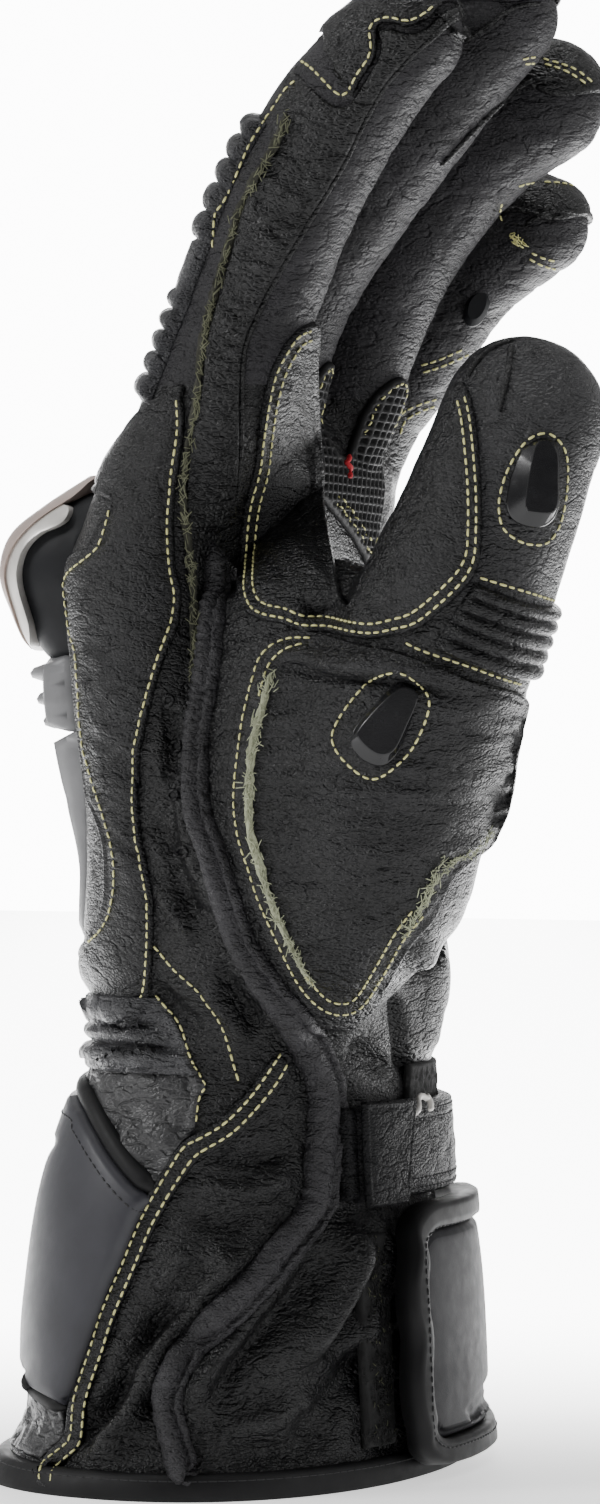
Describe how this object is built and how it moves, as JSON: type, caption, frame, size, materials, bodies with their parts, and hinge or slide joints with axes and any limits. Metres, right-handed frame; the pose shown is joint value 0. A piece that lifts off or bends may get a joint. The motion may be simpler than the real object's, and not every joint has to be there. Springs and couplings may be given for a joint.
{
  "type": "motorcycle glove",
  "caption": "Left-hand leather motorcycle glove with a hard knuckle guard, stretch ribs, palm and thumb sliders, a wrist strap and a flared closing cuff, standing on its hem.",
  "frame": {"origin": "middle of the bounding box on the plane that the cuff's hem stands on", "axes": "+Z from the hem up to the fingertips, +X the palm side, -X the back of the hand, -Y the thumb side, +Y the little finger's side"},
  "size_m": [0.1446, 0.1162, 0.3047],
  "materials": {
    "leather_black": "full-grain cowhide, semi-matte, fine wrinkles",
    "leather_soft": "soft matte goatskin",
    "leather_shiny": "coated grain leather, satin",
    "titanium": "satin titanium",
    "rubber_grey": "matte grey moulded rubber",
    "plastic_dark": "matte dark grey",
    "plastic_gloss": "polished black",
    "coated_grey": "coated grey fabric, satin",
    "rubber_black": "matte black",
    "hook_loop": "hook-and-loop pile"
  },
  "bodies": {
    "root": {"hand_shell": "leather_black", "cuff_shell": "leather_black", "hem_binding": "rubber_black", "index_finger": "leather_soft", "middle_finger": "leather_soft", "ring_finger": "leather_soft", "little_finger": "leather_soft", "thumb": "leather_black", "index_side_panel": "leather_shiny", "web_patch": "leather_black", "thenar_patch": "leather_black", "grip_patch": "rubber_black", "index_tip_cap": "leather_shiny", "middle_tip_cap": "leather_shiny", "ring_tip_cap": "leather_shiny", "little_tip_cap": "leather_shiny", "index_ribs": "leather_black", "middle_ribs": "leather_black", "ring_ribs": "leather_black", "little_ribs": "leather_black", "thumb_ribs": "leather_black", "wrist_ribs": "coated_grey", "knuckle_dome": "plastic_dark", "knuckle_cap": "titanium", "guard_fin_1": "rubber_grey", "guard_fin_2": "rubber_grey", "guard_fin_3": "rubber_grey", "back_plate": "rubber_grey", "back_panel": "leather_black", "thumb_slider": "plastic_gloss", "palm_slider": "plastic_gloss", "little_slider": "plastic_dark", "outseam_roll": "leather_black", "cuff_guard": "coated_grey", "guard_binding_top": "rubber_black", "guard_binding_low": "rubber_black", "wrist_strap": "leather_black", "strap_keeper": "leather_black", "strap_loop_pad": "hook_loop", "hook_strip": "hook_loop", "flap_border": "rubber_black", "closure_flap": "coated_grey"}
  },
  "joints": []
}
